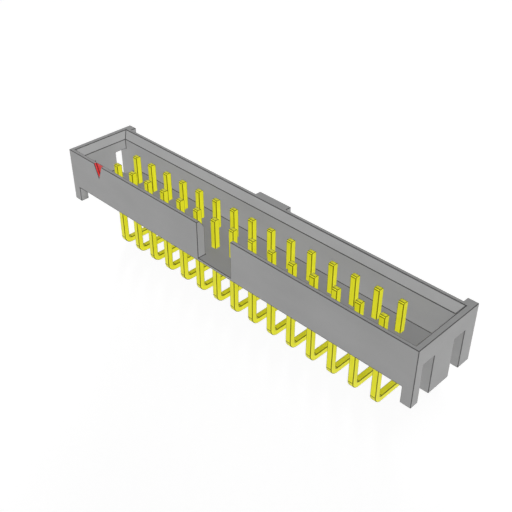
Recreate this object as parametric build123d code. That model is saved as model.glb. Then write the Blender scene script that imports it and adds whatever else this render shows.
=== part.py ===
from build123d import *
import os

# Right-angle shrouded pin header with two rows of contacts.
# X runs along the rows and contact 1 is at -X. Z is the direction in which the plug leaves.
# The circuit board stands in the plane y = 0, with the housing on its -Y side.
# The origin is the centre of the two rows of tails on the face of the board.

# Contacts
contacts_per_row = 15
pitch = 2.0
pin_side = 0.5
tip_bevel = 0.1
tip_below_rim = 0.65
bend_inner_radius = 0.25
base_to_upper_tail = 1.54
tail_past_board = 2.3
hole_clearance = 0.01

# Walls of the housing
end_contact_to_end_face = 4.05
row_to_side_face = 2.0
end_wall = 0.85
side_wall = 0.75
cavity_depth = 3.18
base_thickness = 1.61
front_sill_height = 0.23

# Lead-in round the mouth
rim_land_side = 0.3
rim_land_end = 0.45
lead_in_depth = 0.65

# Openings in the walls
key_slot_width = 3.56
end_slot_width = 1.15
end_slot_depth = 2.0
end_slot_below_rim = 1.55

# Feet that stand on the board
board_foot_height = 0.5
middle_foot_width = 3.27

# Triangular recess that marks contact 1
mark_width = 1.0
mark_height = 1.2
mark_depth = 0.25

# Places along the rows
row_length = (contacts_per_row - 1) * pitch
first_contact_x = -row_length / 2
housing_length = row_length + 2 * end_contact_to_end_face
cavity_length = housing_length - 2 * end_wall

# Places across the rows
back_y = -board_foot_height
back_row_y = back_y - row_to_side_face
front_row_y = back_row_y - pitch
front_y = front_row_y - row_to_side_face
middle_y = (front_y + back_y) / 2
housing_depth = back_y - front_y
cavity_width = housing_depth - 2 * side_wall

# Heights
upper_tail_z = pitch / 2
lower_tail_z = -pitch / 2
base_z = upper_tail_z + base_to_upper_tail
floor_z = base_z + base_thickness
rim_z = floor_z + cavity_depth
sill_z = floor_z - front_sill_height
tip_z = rim_z - tip_below_rim
tail_end_y = tail_past_board


def block(x_span, y_span, z_span):
    """Return a solid that fills the given spans along X, Y and Z."""
    corner = Pos(x_span[0], y_span[0], z_span[0])
    size = [high - low for low, high in (x_span, y_span, z_span)]
    return corner * Box(*size, align=(Align.MIN, Align.MIN, Align.MIN))


def trough():
    """Long block whose underside slopes back from the front wall, over the front row's posts."""
    slope_run = sill_z - base_z
    with BuildPart() as body:
        with BuildSketch(Plane.YZ):
            with BuildLine():
                Polyline(
                    (front_y, rim_z),
                    (back_y, rim_z),
                    (back_y, base_z),
                    (front_y + slope_run, base_z),
                    (front_y, sill_z),
                    close=True,
                )
            make_face()
        extrude(amount=housing_length / 2, both=True)
    return body.part


def end_walls():
    """Two end walls, which reach down as corner legs and back as feet on the board."""
    outer_x = housing_length / 2
    wall = block((outer_x - end_wall, outer_x), (front_y, 0), (base_z, rim_z))
    return wall + mirror(wall, about=Plane.YZ)


def middle_foot():
    """Pad in the middle of the back wall, level with the end walls' feet."""
    half = middle_foot_width / 2
    return block((-half, half), (back_y, 0), (base_z, rim_z))


def cavity():
    """Space for the plug, between the walls and down to the floor."""
    half_length = cavity_length / 2
    half_width = cavity_width / 2
    return block((-half_length, half_length), (middle_y - half_width, middle_y + half_width), (floor_z, rim_z))


def lead_in():
    """Sloped mouth of the cavity, which guides the plug in."""
    mouth_length = housing_length - 2 * rim_land_end
    mouth_width = housing_depth - 2 * rim_land_side
    with BuildPart() as funnel:
        with BuildSketch(Plane((0, middle_y, rim_z))):
            Rectangle(mouth_length, mouth_width)
        with BuildSketch(Plane((0, middle_y, rim_z - lead_in_depth))):
            Rectangle(cavity_length, cavity_width)
        loft()
    return funnel.part


def key_slot():
    """Slot for the plug's key, from the rim down to the floor in the front wall."""
    half = key_slot_width / 2
    return block((-half, half), (front_y, front_y + side_wall), (floor_z, rim_z))


def end_slots():
    """Four upright slots along the side walls, through the end walls and into the base's corners."""
    slot_top = rim_z - end_slot_below_rim
    inner_front_y = front_y + side_wall
    inner_back_y = back_y - side_wall
    outer_x = housing_length / 2
    depth_span = (outer_x - end_slot_depth, outer_x)
    height_span = (base_z, slot_top)
    front_slot = block(depth_span, (inner_front_y, inner_front_y + end_slot_width), height_span)
    back_slot = block(depth_span, (inner_back_y - end_slot_width, inner_back_y), height_span)
    pair = front_slot + back_slot
    return pair + mirror(pair, about=Plane.YZ)


def mark_recess():
    """Triangle sunk in the front wall at contact 1, open at the rim and pointing down."""
    with BuildPart() as recess:
        with BuildSketch(Plane.XZ.offset(-front_y)):
            with BuildLine():
                Polyline(
                    (first_contact_x - mark_width / 2, rim_z),
                    (first_contact_x + mark_width / 2, rim_z),
                    (first_contact_x, rim_z - mark_height),
                    close=True,
                )
            make_face()
        extrude(amount=-mark_depth)
    return recess.part


def contact_holes():
    """Square holes through the base, one for each contact."""
    hole_side = pin_side + 2 * hole_clearance
    with BuildPart() as holes:
        with BuildSketch(Plane((0, middle_y, base_z))):
            with GridLocations(pitch, pitch, contacts_per_row, 2):
                Rectangle(hole_side, hole_side)
        extrude(amount=base_thickness)
    return holes.part


def housing():
    """One-piece moulding that holds the contacts and guides the plug."""
    walls = trough() + end_walls() + middle_foot()
    return walls - cavity() - lead_in() - key_slot() - end_slots() - mark_recess() - contact_holes()


def contact_outline(row_y, tail_z):
    """Side view of a contact: a post, one rounded bend and a tail, with both ends bevelled."""
    half = pin_side / 2
    outer_corner = (row_y - half, tail_z - half)
    inner_corner = (row_y + half, tail_z + half)
    bends = ((outer_corner, bend_inner_radius + pin_side), (inner_corner, bend_inner_radius))
    with BuildSketch(Plane.YZ) as outline:
        with BuildLine():
            Polyline(
                (row_y - half, tip_z - tip_bevel),
                (row_y - half + tip_bevel, tip_z),
                (row_y + half - tip_bevel, tip_z),
                (row_y + half, tip_z - tip_bevel),
                inner_corner,
                (tail_end_y - tip_bevel, tail_z + half),
                (tail_end_y, tail_z + half - tip_bevel),
                (tail_end_y, tail_z - half + tip_bevel),
                (tail_end_y - tip_bevel, tail_z - half),
                outer_corner,
                close=True,
            )
        make_face()
        for corner, radius in bends:
            fillet(outline.vertices().sort_by_distance(corner)[0], radius)
    return outline.sketch


def contact(column_x, row_y, tail_z):
    """Square wire bent to a right angle, centred on its column."""
    return Pos(column_x, 0, 0) * extrude(contact_outline(row_y, tail_z), amount=pin_side / 2, both=True)


def write_node(name, solid):
    """Write one node's solid."""
    export_step(solid, f"parts/{name}.step")


os.makedirs("parts", exist_ok=True)
write_node("housing", housing())
for column in range(contacts_per_row):
    column_x = first_contact_x + column * pitch
    front_number = 2 * column + 1
    write_node(f"pin_{front_number:02d}", contact(column_x, front_row_y, lower_tail_z))
    write_node(f"pin_{front_number + 1:02d}", contact(column_x, back_row_y, upper_tail_z))
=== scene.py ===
"""Looks of a right-angle shrouded pin header, built around its fixed frame.

Lengths are in metres. X runs along the contacts, Y points into the circuit board,
and Z is the direction in which the plug leaves.
"""

import logging
import math
from collections.abc import Callable
from dataclasses import dataclass
from enum import Enum

import bmesh
import bpy
from bpy.types import Material, NodeSocket, Object, ShaderNode
from mathutils import Matrix, Vector


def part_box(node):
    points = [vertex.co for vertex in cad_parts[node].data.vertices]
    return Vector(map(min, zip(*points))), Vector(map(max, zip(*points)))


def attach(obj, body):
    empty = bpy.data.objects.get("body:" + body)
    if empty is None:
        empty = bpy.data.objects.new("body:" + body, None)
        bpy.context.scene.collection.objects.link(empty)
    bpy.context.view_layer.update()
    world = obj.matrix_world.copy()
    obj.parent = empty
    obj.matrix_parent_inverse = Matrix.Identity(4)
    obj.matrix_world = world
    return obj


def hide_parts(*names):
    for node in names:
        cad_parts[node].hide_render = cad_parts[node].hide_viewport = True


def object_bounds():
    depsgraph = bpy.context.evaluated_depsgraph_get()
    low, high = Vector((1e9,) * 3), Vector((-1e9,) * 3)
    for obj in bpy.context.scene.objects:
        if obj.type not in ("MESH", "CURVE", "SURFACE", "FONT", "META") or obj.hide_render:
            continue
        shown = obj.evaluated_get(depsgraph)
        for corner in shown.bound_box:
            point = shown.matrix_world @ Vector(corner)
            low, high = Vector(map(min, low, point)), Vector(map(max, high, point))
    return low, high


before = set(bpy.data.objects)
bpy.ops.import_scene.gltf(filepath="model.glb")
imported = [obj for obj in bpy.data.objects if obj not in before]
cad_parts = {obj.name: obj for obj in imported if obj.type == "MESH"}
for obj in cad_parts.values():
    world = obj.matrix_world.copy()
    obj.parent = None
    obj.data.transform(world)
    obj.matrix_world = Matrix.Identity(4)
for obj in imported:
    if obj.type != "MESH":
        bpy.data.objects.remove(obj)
CAD_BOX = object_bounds()

MM = 0.001
SAME_POINT = 0.001 * MM
ONLY_BODY = "root"
# Face attribute that holds the painted shade on rounded edges.
EDGE_SHADE_ATTRIBUTE = "painted_edge_shade"
WIRE_ATTRIBUTE = "wire_place"
FLAT_SLOT, EDGE_SLOT = 0, 1
SMOOTH_ANGLE = math.radians(50)

log = logging.getLogger("pin_header")


class Slot(Enum):
    """Material slots of the record."""

    HOUSING = "housing_plastic"
    CONTACT = "contact_plating"
    MARK = "mark_paint"


def linear(red: int, green: int, blue: int) -> tuple[float, float, float, float]:
    """Turn a screen colour into the linear colour that a shader reads.

    Args:
        red: Red from 0 to 255.
        green: Green from 0 to 255.
        blue: Blue from 0 to 255.

    Returns:
        Linear red, green and blue, with an alpha of 1.
    """
    levels = [level / 255 for level in (red, green, blue)]
    return (*[x / 12.92 if x <= 0.04045 else ((x + 0.055) / 1.055) ** 2.4 for x in levels], 1.0)


def shade(colour: tuple[float, ...], share: float) -> tuple[float, ...]:
    """Return the colour with its red, green and blue times a share."""
    return (*[level * share for level in colour[:3]], 1.0)


class ShaderGraph:
    """One material's nodes, which end in a Principled shader."""

    MIX_SHARE = 0
    MIX_COLOURS = (6, 7)
    MIX_RESULT = 2

    def __init__(self, name: str) -> None:
        """Start a material.

        Args:
            name: Name of the material.
        """
        self.material = bpy.data.materials.new(name)
        self.material.use_nodes = True
        self.tree = self.material.node_tree
        self.shader = self.tree.nodes["Principled BSDF"]
        self.place = self.node("ShaderNodeTexCoord").outputs["Object"]

    def node(self, kind: str) -> ShaderNode:
        """Add a node of a kind and return it."""
        return self.tree.nodes.new(kind)

    def join(self, source: NodeSocket, target: NodeSocket) -> None:
        """Link an output to an input."""
        self.tree.links.new(source, target)

    def constant(self, name: str, value: float) -> None:
        """Set one of the shader's own sockets."""
        self.shader.inputs[name].default_value = value

    def attribute(self, name: str, output: str = "Fac") -> NodeSocket:
        """Return an output of the node that reads one of the mesh's attributes."""
        reader = self.node("ShaderNodeAttribute")
        reader.attribute_name = name
        return reader.outputs[output]

    def noise(
        self,
        grain: float,
        detail: float = 2.0,
        stretch: tuple[float, float, float] = (1.0, 1.0, 1.0),
        place: NodeSocket | None = None,
    ) -> NodeSocket:
        """Add a noise pattern.

        Args:
            grain: Size of one grain, in metres.
            detail: Number of finer layers.
            stretch: How much longer a grain is along each axis.
            place: Coordinates to read, or None for the object's own.

        Returns:
            The pattern's value from 0 to 1.
        """
        mapping = self.node("ShaderNodeMapping")
        mapping.inputs["Scale"].default_value = [1 / share for share in stretch]
        self.join(place or self.place, mapping.inputs["Vector"])
        pattern = self.node("ShaderNodeTexNoise")
        pattern.inputs["Scale"].default_value = 1 / grain
        pattern.inputs["Detail"].default_value = detail
        self.join(mapping.outputs["Vector"], pattern.inputs["Vector"])
        return pattern.outputs["Fac"]

    def remap(
        self,
        value: NodeSocket,
        target: tuple[float, float],
        source: tuple[float, float] = (0.0, 1.0),
    ) -> NodeSocket:
        """Stretch a value from one span to another.

        Args:
            value: Value to change.
            target: Span that comes out.
            source: Span that goes in.

        Returns:
            The changed value, kept inside the target span.
        """
        span = self.node("ShaderNodeMapRange")
        names = ("From Min", "From Max", "To Min", "To Max")
        for name, number in zip(names, (*source, *target)):
            span.inputs[name].default_value = number
        self.join(value, span.inputs["Value"])
        return span.outputs["Result"]

    def blend(
        self,
        share: NodeSocket,
        first: NodeSocket | tuple[float, ...],
        second: NodeSocket | tuple[float, ...],
    ) -> NodeSocket:
        """Mix two colours.

        Args:
            share: Share of the second colour.
            first: Colour at a share of 0.
            second: Colour at a share of 1.

        Returns:
            The mixed colour.
        """
        mixer = self.node("ShaderNodeMix")
        mixer.data_type = "RGBA"
        self.join(share, mixer.inputs[self.MIX_SHARE])
        for index, colour in zip(self.MIX_COLOURS, (first, second)):
            if isinstance(colour, NodeSocket):
                self.join(colour, mixer.inputs[index])
            else:
                mixer.inputs[index].default_value = colour
        return mixer.outputs[self.MIX_RESULT]

    def paint_edge_shade(self, body: NodeSocket, edge: tuple[float, ...]) -> None:
        """Give the shader its colour, with painted shade on the rounded edges.

        Args:
            body: Colour of the flat faces.
            edge: Darker colour painted on the rounded edges as shade.
        """
        # Painted shade: the rounded faces take the darker edge colour.
        colour = self.blend(self.attribute(EDGE_SHADE_ATTRIBUTE), body, edge)
        self.join(colour, self.shader.inputs["Base Color"])

    def relief(self, height: NodeSocket, depth: float, strength: float) -> None:
        """Add a bump to the shader's normal, on top of any that is there.

        Args:
            height: Height pattern from 0 to 1.
            depth: Height of the relief, in metres.
            strength: Share of the relief that shows.
        """
        bump = self.node("ShaderNodeBump")
        bump.inputs["Strength"].default_value = strength
        bump.inputs["Distance"].default_value = depth
        self.join(height, bump.inputs["Height"])
        normal = self.shader.inputs["Normal"]
        if normal.links:
            self.join(normal.links[0].from_socket, bump.inputs["Normal"])
        self.join(bump.outputs["Normal"], normal)


@dataclass(frozen=True)
class MouldedPlastic:
    """Grey glass-filled plastic, with a fine grain, faint flow marks and painted shade on its
    rounded edges.
    """

    name: str = "moulded_plastic"
    colour: tuple[float, ...] = linear(160, 160, 160)
    mottle: float = 0.05
    fibre_share: float = 1.25
    # Share of the colour left on the rounded edges, as painted shade.
    edge_shade_share: float = 0.2
    grain: float = 0.09 * MM
    grain_depth: float = 0.006 * MM
    grain_strength: float = 0.5
    cloud: float = 2.2 * MM
    cloud_stretch: tuple[float, float, float] = (2.5, 1.0, 1.0)
    cloud_span: tuple[float, float] = (0.3, 0.7)
    cloud_strength: float = 0.4
    fibre: float = 0.05 * MM
    fibre_stretch: tuple[float, float, float] = (5.0, 1.0, 1.0)
    fibre_span: tuple[float, float] = (0.62, 0.8)
    fibre_cover: float = 0.35
    roughness: tuple[float, float] = (0.42, 0.62)
    specular: float = 0.4

    def material(self) -> Material:
        """Build the finish.

        Returns:
            The material.
        """
        graph = ShaderGraph(self.name)
        cloud = graph.noise(self.cloud, 3.0, stretch=self.cloud_stretch)
        pale, dark = shade(self.colour, 1 + self.mottle), shade(self.colour, 1 - self.mottle)
        body = graph.blend(graph.remap(cloud, (0.0, 1.0), self.cloud_span), dark, pale)
        fibres = graph.noise(self.fibre, 1.0, stretch=self.fibre_stretch)
        cover = graph.remap(fibres, (0.0, self.fibre_cover), self.fibre_span)
        body = graph.blend(cover, body, shade(self.colour, self.fibre_share))
        # Painted shade on the rounded edges.
        graph.paint_edge_shade(body, shade(self.colour, self.edge_shade_share))
        grain = graph.noise(self.grain, 3.0)
        graph.join(graph.remap(grain, self.roughness), graph.shader.inputs["Roughness"])
        graph.relief(grain, self.grain_depth, self.grain_strength)
        graph.relief(cloud, self.grain_depth * 2, self.cloud_strength)
        graph.constant("Specular IOR Level", self.specular)
        return graph.material


@dataclass(frozen=True)
class GoldPlating:
    """Bright gold over drawn square wire, with fine lines along the wire and painted shade on
    its rounded corners.
    """

    name: str = "gold_plating"
    colour: tuple[float, ...] = linear(246, 243, 48)
    deep: tuple[float, ...] = linear(240, 237, 36)
    line_share: float = 0.7
    # Share of the deep gold left on the rounded corners, as painted shade.
    edge_shade_share: float = 0.2
    line: float = 0.03 * MM
    line_depth: float = 0.003 * MM
    line_strength: float = 0.5
    line_stretch: tuple[float, float, float] = (1.0, 1.0, 40.0)
    line_span: tuple[float, float] = (0.45, 0.75)
    line_cover: float = 0.3
    cloud: float = 0.5 * MM
    cloud_stretch: tuple[float, float, float] = (1.0, 1.0, 2.0)
    cloud_span: tuple[float, float] = (0.35, 0.65)
    roughness: tuple[float, float] = (0.3, 0.44)
    metallic: float = 0.1
    specular: float = 0.25

    def material(self) -> Material:
        """Build the finish.

        Returns:
            The material.
        """
        graph = ShaderGraph(self.name)
        along = graph.attribute(WIRE_ATTRIBUTE, "Vector")
        lines = graph.noise(self.line, 2.0, stretch=self.line_stretch, place=along)
        cloud = graph.noise(self.cloud, 2.0, stretch=self.cloud_stretch, place=along)
        body = graph.blend(
            graph.remap(cloud, (0.0, 1.0), self.cloud_span), self.deep, self.colour
        )
        cover = graph.remap(lines, (0.0, self.line_cover), self.line_span)
        body = graph.blend(cover, body, shade(self.deep, self.line_share))
        # Painted shade on the rounded corners.
        graph.paint_edge_shade(body, shade(self.deep, self.edge_shade_share))
        graph.join(graph.remap(cloud, self.roughness), graph.shader.inputs["Roughness"])
        graph.relief(lines, self.line_depth, self.line_strength)
        graph.constant("Metallic", self.metallic)
        graph.constant("Specular IOR Level", self.specular)
        return graph.material


@dataclass(frozen=True)
class MarkingPaint:
    """Red paint run into the recess that marks the first contact, with painted shade on its
    edges.
    """

    name: str = "marking_paint"
    colour: tuple[float, ...] = linear(216, 44, 44)
    thin: tuple[float, ...] = linear(206, 66, 70)
    # Share of the red left on the edges, as painted shade.
    edge_shade_share: float = 0.05
    cloud: float = 0.25 * MM
    cloud_span: tuple[float, float] = (0.3, 0.7)
    depth: float = 0.01 * MM
    strength: float = 0.6
    roughness: tuple[float, float] = (0.28, 0.4)

    def material(self) -> Material:
        """Build the finish.

        Returns:
            The material.
        """
        graph = ShaderGraph(self.name)
        cloud = graph.noise(self.cloud, 3.0)
        body = graph.blend(
            graph.remap(cloud, (0.0, 1.0), self.cloud_span), self.colour, self.thin
        )
        # Painted shade on the edges.
        graph.paint_edge_shade(body, shade(self.colour, self.edge_shade_share))
        graph.join(graph.remap(cloud, self.roughness), graph.shader.inputs["Roughness"])
        graph.relief(cloud, self.depth, self.strength)
        return graph.material


class Piece:
    """A finished piece of the object, with its place in its mesh."""

    def __init__(self, thing: Object) -> None:
        """Keep the object to work on.

        Args:
            thing: Mesh object at the origin.
        """
        self.thing = thing

    def alone(self) -> None:
        """Select this piece and nothing else."""
        bpy.ops.object.select_all(action="DESELECT")
        self.thing.select_set(True)
        bpy.context.view_layer.objects.active = self.thing

    def edit(self) -> None:
        """Start to edit the mesh, with nothing in it selected."""
        self.alone()
        bpy.ops.object.mode_set(mode="EDIT")
        bpy.ops.mesh.select_all(action="DESELECT")

    def done(self) -> None:
        """Turn the faces outwards and leave edit mode."""
        bpy.ops.mesh.select_all(action="SELECT")
        bpy.ops.mesh.normals_make_consistent(inside=False)
        bpy.ops.object.mode_set(mode="OBJECT")

    def merge_points(self) -> None:
        """Merge points that lie on each other."""
        self.edit()
        bpy.ops.mesh.select_all(action="SELECT")
        bpy.ops.mesh.remove_doubles(threshold=SAME_POINT)
        self.done()

    def pick_faces(self, wanted: Callable[[bmesh.types.BMFace], bool]) -> None:
        """Select faces in edit mode.

        Args:
            wanted: Says whether a face is selected.
        """
        bpy.ops.mesh.select_mode(type="FACE")
        bpy.ops.mesh.select_all(action="DESELECT")
        shape = bmesh.from_edit_mesh(self.thing.data)
        for face in shape.faces:
            face.select_set(wanted(face))
        bmesh.update_edit_mesh(self.thing.data)

    def pick_edges(self, wanted: Callable[[bmesh.types.BMEdge], bool]) -> None:
        """Select edges in edit mode.

        Args:
            wanted: Says whether an edge is selected.
        """
        bpy.ops.mesh.select_mode(type="EDGE")
        bpy.ops.mesh.select_all(action="DESELECT")
        shape = bmesh.from_edit_mesh(self.thing.data)
        for edge in shape.edges:
            edge.select_set(wanted(edge))
        bmesh.update_edit_mesh(self.thing.data)

    def soften(self, rounding_width: Callable[[bmesh.types.BMEdge], float]) -> None:
        """Round the sharp edges, and note the rounded faces in an attribute for painted shade.

        Args:
            rounding_width: Says how far an edge's rounding reaches, or 0 where there is none.
        """
        data = self.thing.data
        shape = bmesh.new()
        shape.from_mesh(data)
        weight = shape.edges.layers.float.new("bevel_weight_edge")
        widths = [rounding_width(edge) for edge in shape.edges]
        widest = max(widths)
        for edge, width in zip(shape.edges, widths):
            edge[weight] = width / widest
        shape.to_mesh(data)
        shape.free()
        data.materials.clear()
        for name in ("flats", "edges"):
            data.materials.append(bpy.data.materials.get(name) or bpy.data.materials.new(name))
        self.alone()
        rounding = self.thing.modifiers.new("rounding", "BEVEL")
        rounding.limit_method = "WEIGHT"
        rounding.width = widest
        rounding.segments = 2
        rounding.material = EDGE_SLOT
        bpy.ops.object.modifier_apply(modifier=rounding.name)
        # The rounded faces get painted shade through this attribute.
        data.attributes.new(EDGE_SHADE_ATTRIBUTE, "FLOAT", "FACE")
        self.note_edges()

    def note_edges(self) -> None:
        """Note the faces in the edges' slot for painted shade, and give all of them the flats'
        slot.
        """
        data = self.thing.data
        for face, painted_shade in zip(data.polygons, data.attributes[EDGE_SHADE_ATTRIBUTE].data):
            painted_shade.value = max(painted_shade.value, float(face.material_index))
            face.material_index = FLAT_SLOT

    def dress(self, material: Material, slot: Slot) -> None:
        """Give the piece its finish and smooth its round stretches.

        Args:
            material: Finish of the whole piece.
            slot: Slot of the record that the finish stands for; not used.
        """
        self.thing.data.materials.clear()
        self.thing.data.materials.append(material)
        self.alone()
        bpy.ops.object.shade_smooth_by_angle(angle=SMOOTH_ANGLE)
        flats = self.thing.modifiers.new("even_flats", "WEIGHTED_NORMAL")
        flats.keep_sharp = True
        bpy.ops.object.modifier_apply(modifier=flats.name)
        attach(self.thing, ONLY_BODY)
        log.info("%s: %d faces", self.thing.name, len(self.thing.data.polygons))


@dataclass
class Contacts:
    """Square wires that are bent to a right angle, one row of them."""

    nodes: list[str]
    bend_inner_radius: float = 0.25 * MM
    bend_steps: int = 10
    end_bevel: float = 0.1 * MM
    corner_radius: float = 0.055 * MM
    line_radius: float = 0.036 * MM
    sharp_turn_deg: float = 30.0

    def __post_init__(self) -> None:
        """Read the row's sizes from its first node."""
        low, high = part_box(self.nodes[0])
        self.side = high.x - low.x
        self.column_x = (low.x + high.x) / 2
        self.row_y = low.y + self.side / 2
        self.tail_z = low.z + self.side / 2
        self.tip_z = high.z
        self.tail_end_y = high.y
        self.bend_radius = self.bend_inner_radius + self.side / 2
        self.bend_y = self.row_y + self.bend_radius
        self.bend_z = self.tail_z + self.bend_radius

    def wire(self) -> Piece:
        """Model the row's first contact.

        Returns:
            The wire, with its ends bevelled and its corners rounded.
        """
        bpy.ops.object.select_all(action="DESELECT")
        post = self.tip_z - self.bend_z
        centre = (self.column_x, self.row_y, self.bend_z + post / 2)
        size = (self.side, self.side, post)
        bpy.ops.mesh.primitive_cube_add(size=1, location=centre, scale=size)
        bpy.ops.object.transform_apply(location=True, rotation=True, scale=True)
        piece = Piece(bpy.context.active_object)
        piece.edit()
        piece.pick_faces(lambda face: face.calc_center_median().z < self.bend_z + SAME_POINT)
        bpy.ops.mesh.spin(
            steps=self.bend_steps,
            angle=-math.pi / 2,
            center=(self.column_x, self.bend_y, self.bend_z),
            axis=(1, 0, 0),
        )
        tail = self.tail_end_y - self.bend_y
        bpy.ops.mesh.extrude_region_move(TRANSFORM_OT_translate={"value": (0, tail, 0)})
        piece.pick_edges(lambda edge: self.is_across(edge) and self.near_end(edge, 0.0))
        bpy.ops.mesh.bevel(offset=self.end_bevel, segments=1, affect="EDGES")
        piece.done()
        piece.soften(self.rounding_width)
        return piece

    def is_across(self, edge: bmesh.types.BMEdge) -> bool:
        """Say whether an edge runs across the wire, along the rows."""
        return abs(edge.verts[0].co.x - edge.verts[1].co.x) > SAME_POINT

    def near_end(self, edge: bmesh.types.BMEdge, reach: float) -> bool:
        """Say whether an edge lies at the post's tip or the tail's end.

        Args:
            edge: Edge of the wire.
            reach: Length from the end that still belongs to it.

        Returns:
            True where both of the edge's points lie within reach of an end.
        """
        tip_start = self.tip_z - reach - SAME_POINT
        tail_end_start = self.tail_end_y - reach - SAME_POINT
        return all(
            vertex.co.z > tip_start or vertex.co.y > tail_end_start for vertex in edge.verts
        )

    def rounding_width(self, edge: bmesh.types.BMEdge) -> float:
        """Say how far an edge's rounding reaches.

        Args:
            edge: Edge of the wire.

        Returns:
            Less round the bevelled ends and at the ends of the bend than along the corners, and
            0 for an edge that isn't sharp.
        """
        # At the ends of the bend a narrow rounding carries painted edge shade as a dark line.
        if self.at_bend_end(edge):
            return self.line_radius
        if math.degrees(edge.calc_face_angle(0.0)) < self.sharp_turn_deg:
            return 0.0
        return self.line_radius if self.near_end(edge, self.end_bevel) else self.corner_radius

    def at_bend_end(self, edge: bmesh.types.BMEdge) -> bool:
        """Say whether an edge crosses the wire at an end of the bend.

        Args:
            edge: Edge of the wire.

        Returns:
            True for an edge across the wire, on its inner or outer face.
        """
        points = [vertex.co for vertex in edge.verts]
        on_post = all(abs(point.z - self.bend_z) < SAME_POINT for point in points)
        on_tail = all(abs(point.y - self.bend_y) < SAME_POINT for point in points)
        return self.is_across(edge) and (on_post or on_tail)

    def place_on_wire(self, point: Vector) -> tuple[float, float, float]:
        """Say where a point lies on its wire.

        Args:
            point: Point on the wire's surface.

        Returns:
            Place across, place through the bend's plane, and length along the wire.
        """
        if point.z > self.bend_z:
            return point.x, self.row_y - point.y, point.z - self.bend_z
        if point.y > self.bend_y:
            arc = self.bend_radius * math.pi / 2
            return point.x, self.tail_z - point.z, self.bend_y - arc - point.y
        y, z = self.bend_y - point.y, self.bend_z - point.z
        along = -self.bend_radius * math.atan2(z, y)
        return point.x, math.hypot(y, z) - self.bend_radius, along

    def build(self, material: Material) -> None:
        """Model one contact, and copy it for each node of the row.

        The wires throw no yellow light on the plastic round them.

        Args:
            material: Finish of the contacts.
        """
        master = self.wire()
        for node in self.nodes:
            low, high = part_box(node)
            mesh = master.thing.data.copy()
            mesh.transform(Matrix.Translation(((low.x + high.x) / 2 - self.column_x, 0, 0)))
            places = mesh.attributes.new(WIRE_ATTRIBUTE, "FLOAT_VECTOR", "POINT")
            for vertex, place in zip(mesh.vertices, places.data):
                place.vector = self.place_on_wire(vertex.co)
            contact = bpy.data.objects.new(node.replace("pin", "contact"), mesh)
            bpy.context.scene.collection.objects.link(contact)
            contact.visible_diffuse = False
            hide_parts(node)
            Piece(contact).dress(material, Slot.CONTACT)
        bpy.data.objects.remove(master.thing)


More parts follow.
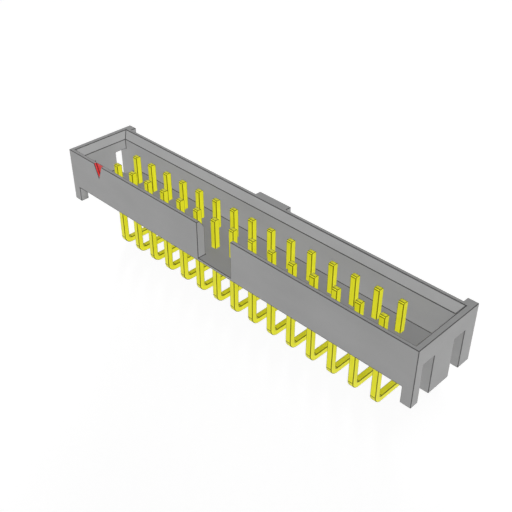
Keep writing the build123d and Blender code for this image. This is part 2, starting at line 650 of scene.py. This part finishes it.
@dataclass
class Housing:
    """One-piece moulding with softened edges, and the paint in its mark."""

    node: str = "housing"
    first_contact: str = "pin_01"
    edge_radius: float = 0.05 * MM
    shallow_edge_radius: float = 0.0425 * MM
    thin_land_radius: float = 0.04 * MM
    mark_corner_radius: float = 0.07 * MM
    sharp_turn_deg: float = 20.0
    steep_turn_deg: float = 40.0
    flat_turn_deg: float = 0.5
    hole_margin: float = 0.03 * MM
    mark_width: float = 1.0 * MM
    mark_height: float = 1.2 * MM
    mark_depth: float = 0.25 * MM
    mark_margin: float = 0.025 * MM
    paint_thickness: float = 0.02 * MM

    def at_contact(self, point: Vector) -> bool:
        """Say whether a point is on the wall of a contact's hole."""
        return any(
            low.x - self.hole_margin < point.x < high.x + self.hole_margin
            and low.y - self.hole_margin < point.y < low.y + (high.x - low.x) + self.hole_margin
            for low, high in self.contact_boxes
        )

    def in_mark(self, point: Vector) -> bool:
        """Say whether a point lies inside the marking recess."""
        low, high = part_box(self.node)
        first_low, first_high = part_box(self.first_contact)
        centre_x = (first_low.x + first_high.x) / 2
        return (
            abs(point.x - centre_x) < self.mark_width / 2
            and low.y + self.edge_radius < point.y < low.y + self.mark_depth + self.mark_margin
            and high.z - self.mark_height < point.z < high.z - self.edge_radius
        )

    def moulding(self) -> Piece:
        """Copy the fixed node's shape and round its edges.

        Returns:
            The moulding.
        """
        self.contact_boxes = [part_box(name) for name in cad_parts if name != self.node]
        thing = bpy.data.objects.new("housing_moulding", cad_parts[self.node].data.copy())
        bpy.context.scene.collection.objects.link(thing)
        piece = Piece(thing)
        piece.merge_points()
        piece.edit()
        bpy.ops.mesh.select_all(action="SELECT")
        bpy.ops.mesh.dissolve_limited(angle_limit=math.radians(self.flat_turn_deg))
        piece.done()
        piece.soften(self.rounding_width)
        piece.merge_points()
        return piece

    def rounding_width(self, edge: bmesh.types.BMEdge) -> float:
        """Say how far an edge's rounding reaches.

        The rim is thin behind the mark, so the mark's edges there stay sharp, and the rim's
        inner edge gets a narrower rounding along the whole front wall.

        Args:
            edge: Edge of the moulding.

        Returns:
            Less for a shallow edge such as the lead-in's lower one, and 0 for an edge that is
            flat or belongs to a contact's hole.
        """
        points = [vertex.co for vertex in edge.verts]
        turn = math.degrees(edge.calc_face_angle(0.0))
        if turn < self.sharp_turn_deg or all(self.at_contact(point) for point in points):
            return 0.0
        low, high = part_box(self.node)
        on_rim = all(abs(point.z - high.z) < self.mark_margin for point in points)
        depths = [point.y - low.y for point in points]
        at_mark_back = [abs(depth - self.mark_depth) < self.mark_margin for depth in depths]
        if on_rim and any(at_mark_back):
            return 0.0
        if all(at_mark_back):
            return self.mark_corner_radius
        if on_rim and all(self.mark_depth < depth < 2 * self.mark_depth for depth in depths):
            return self.thin_land_radius
        return self.edge_radius if turn >= self.steep_turn_deg else self.shallow_edge_radius

    def paint(self, moulding: Piece) -> Piece:
        """Lay a thin skin of paint on the recess's faces, flush with the rim.

        Args:
            moulding: Finished moulding.

        Returns:
            The paint.
        """
        thing = bpy.data.objects.new("mark_paint", moulding.thing.data.copy())
        bpy.context.scene.collection.objects.link(thing)
        piece = Piece(thing)
        piece.edit()
        piece.pick_faces(lambda face: not self.in_mark(face.calc_center_median()))
        bpy.ops.mesh.delete(type="FACE")
        bpy.ops.object.mode_set(mode="OBJECT")
        piece.alone()
        skin = thing.modifiers.new("skin", "SOLIDIFY")
        skin.thickness = self.paint_thickness
        skin.offset = 1.0
        # The skin's rim joins the edges' slot, so it takes the painted edge shade.
        skin.material_offset_rim = EDGE_SLOT
        bpy.ops.object.modifier_apply(modifier=skin.name)
        rim_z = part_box(self.node)[1].z
        for vertex in thing.data.vertices:
            vertex.co.z = min(vertex.co.z, rim_z)
        piece.note_edges()
        return piece

    def build(self, plastic: Material, paint: Material) -> None:
        """Build the moulding and its mark.

        Args:
            plastic: Finish of the moulding.
            paint: Finish of the mark.
        """
        moulding = self.moulding()
        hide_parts(self.node)
        mark = self.paint(moulding)
        moulding.dress(plastic, Slot.HOUSING)
        mark.dress(paint, Slot.MARK)


@dataclass(frozen=True)
class PhotoCamera:
    """Camera that looks down a cube's diagonal at the middle of the object."""

    towards: tuple[float, float, float] = (-1.0, 1.0, -1.0)
    distance: float = 63.15 * MM
    focal_pixels: float = 807.4
    frame_pixels: int = 512
    sensor_width: float = 36.0
    clip_ratio: float = 50.0

    def build(self) -> None:
        """Create the camera and make it the scene's own."""
        low, high = CAD_BOX
        sight = Vector(self.towards).normalized()
        lens = bpy.data.cameras.new("camera")
        lens.sensor_width = self.sensor_width
        lens.lens = self.focal_pixels * self.sensor_width / self.frame_pixels
        lens.clip_start = self.distance / self.clip_ratio
        lens.clip_end = self.distance * self.clip_ratio
        camera = bpy.data.objects.new("camera", lens)
        camera.location = (low + high) / 2 - sight * self.distance
        camera.rotation_euler = sight.to_track_quat("-Z", "Y").to_euler()
        bpy.context.scene.collection.objects.link(camera)
        bpy.context.scene.camera = camera


@dataclass(frozen=True)
class Lamp:
    """A soft lamp, far away."""

    name: str
    source: tuple[float, float, float]
    level: float
    softness_deg: float = 30.0
    shadows: bool = True
    highlights: bool = True

    def build(self) -> None:
        """Create the lamp, which shines from its source towards the object."""
        sun = bpy.data.lights.new(self.name, "SUN")
        sun.energy = self.level * math.pi
        sun.angle = math.radians(self.softness_deg)
        sun.use_shadow = self.shadows
        lamp = bpy.data.objects.new(self.name, sun)
        lamp.rotation_euler = Vector(self.source).to_track_quat("Z", "Y").to_euler()
        lamp.visible_glossy = self.highlights
        bpy.context.scene.collection.objects.link(lamp)


@dataclass(frozen=True)
class Studio:
    """Plain white floor and surround, with even soft light.

    The side fill throws no shadows, so that the trough is nearly as light inside as outside.
    """

    floor_radius: float = 600 * MM
    floor_corners: int = 96
    floor_bounce: float = 0.1
    floor_seen: float = 0.5
    floor_glow: float = 0.7
    surround: float = 0.08
    lamps: tuple[Lamp, ...] = (
        Lamp("key", (1.0, -1.0, 1.0), 0.05),
        Lamp("side_fill", (0.71, -0.66, 0.44), 1.065, shadows=False, highlights=False),
        Lamp("back_fill", (-0.7, 0.7, 0.075), 0.92, softness_deg=12.0, highlights=False),
    )

    def shown(self, tree: bpy.types.NodeTree) -> NodeSocket:
        """Add the test for rays that show the surround, straight or in gloss.

        Args:
            tree: Node tree to add it to.

        Returns:
            1 for a ray that shows the surround, and 0 for one that only lights.
        """
        path = tree.nodes.new("ShaderNodeLightPath")
        total = path.outputs["Is Camera Ray"]
        for name in ("Is Glossy Ray", "Is Transmission Ray"):
            either = tree.nodes.new("ShaderNodeMath")
            either.operation = "MAXIMUM"
            tree.links.new(total, either.inputs[0])
            tree.links.new(path.outputs[name], either.inputs[1])
            total = either.outputs[0]
        return total

    def floor_material(self) -> Material:
        """Build the floor's finish, white to the eye and with the object's shadow.

        Returns:
            The material.
        """
        material = bpy.data.materials.new("studio_floor")
        material.use_nodes = True
        tree = material.node_tree
        tree.nodes.remove(tree.nodes["Principled BSDF"])
        bounce, seen = (tree.nodes.new("ShaderNodeBsdfDiffuse") for _ in range(2))
        bounce.inputs["Color"].default_value = (*[self.floor_bounce] * 3, 1.0)
        seen.inputs["Color"].default_value = (*[self.floor_seen] * 3, 1.0)
        glow = tree.nodes.new("ShaderNodeEmission")
        glow.inputs["Strength"].default_value = self.floor_glow
        both = tree.nodes.new("ShaderNodeAddShader")
        tree.links.new(seen.outputs[0], both.inputs[0])
        tree.links.new(glow.outputs[0], both.inputs[1])
        choice = tree.nodes.new("ShaderNodeMixShader")
        tree.links.new(self.shown(tree), choice.inputs["Fac"])
        tree.links.new(bounce.outputs[0], choice.inputs[1])
        tree.links.new(both.outputs[0], choice.inputs[2])
        tree.links.new(choice.outputs[0], tree.nodes["Material Output"].inputs["Surface"])
        return material

    def build_floor(self) -> None:
        """Lay the floor under the object's lowest point."""
        bpy.ops.object.select_all(action="DESELECT")
        low = CAD_BOX[0]
        bpy.ops.mesh.primitive_circle_add(
            vertices=self.floor_corners,
            radius=self.floor_radius,
            fill_type="NGON",
            location=(0, 0, low.z),
        )
        floor = bpy.context.active_object
        floor.name = "floor"
        floor.data.materials.append(self.floor_material())

    def build_surround(self) -> None:
        """Light the world evenly, and show it white."""
        world = bpy.data.worlds.new("surround")
        world.use_nodes = True
        tree = world.node_tree
        background = tree.nodes["Background"]
        background.inputs["Color"].default_value = (1.0, 1.0, 1.0, 1.0)
        level = tree.nodes.new("ShaderNodeMapRange")
        level.inputs["To Min"].default_value = self.surround
        level.inputs["To Max"].default_value = 1.0
        tree.links.new(self.shown(tree), level.inputs["Value"])
        tree.links.new(level.outputs["Result"], background.inputs["Strength"])
        bpy.context.scene.world = world

    def build(self) -> None:
        """Build the floor, the surround and the lamps."""
        self.build_floor()
        self.build_surround()
        for lamp in self.lamps:
            lamp.build()
        bpy.context.scene.view_settings.view_transform = "Standard"


def main() -> None:
    """Build the object and the studio round it."""
    PhotoCamera().build()
    Studio().build()
    pins = sorted(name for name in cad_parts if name.startswith("pin_"))
    gold = GoldPlating().material()
    for row in (pins[0::2], pins[1::2]):
        Contacts(row).build(gold)
    Housing().build(MouldedPlastic().material(), MarkingPaint().material())


if __name__ == "__main__":
    logging.basicConfig(level=logging.INFO, format="%(name)s: %(message)s")
    main()
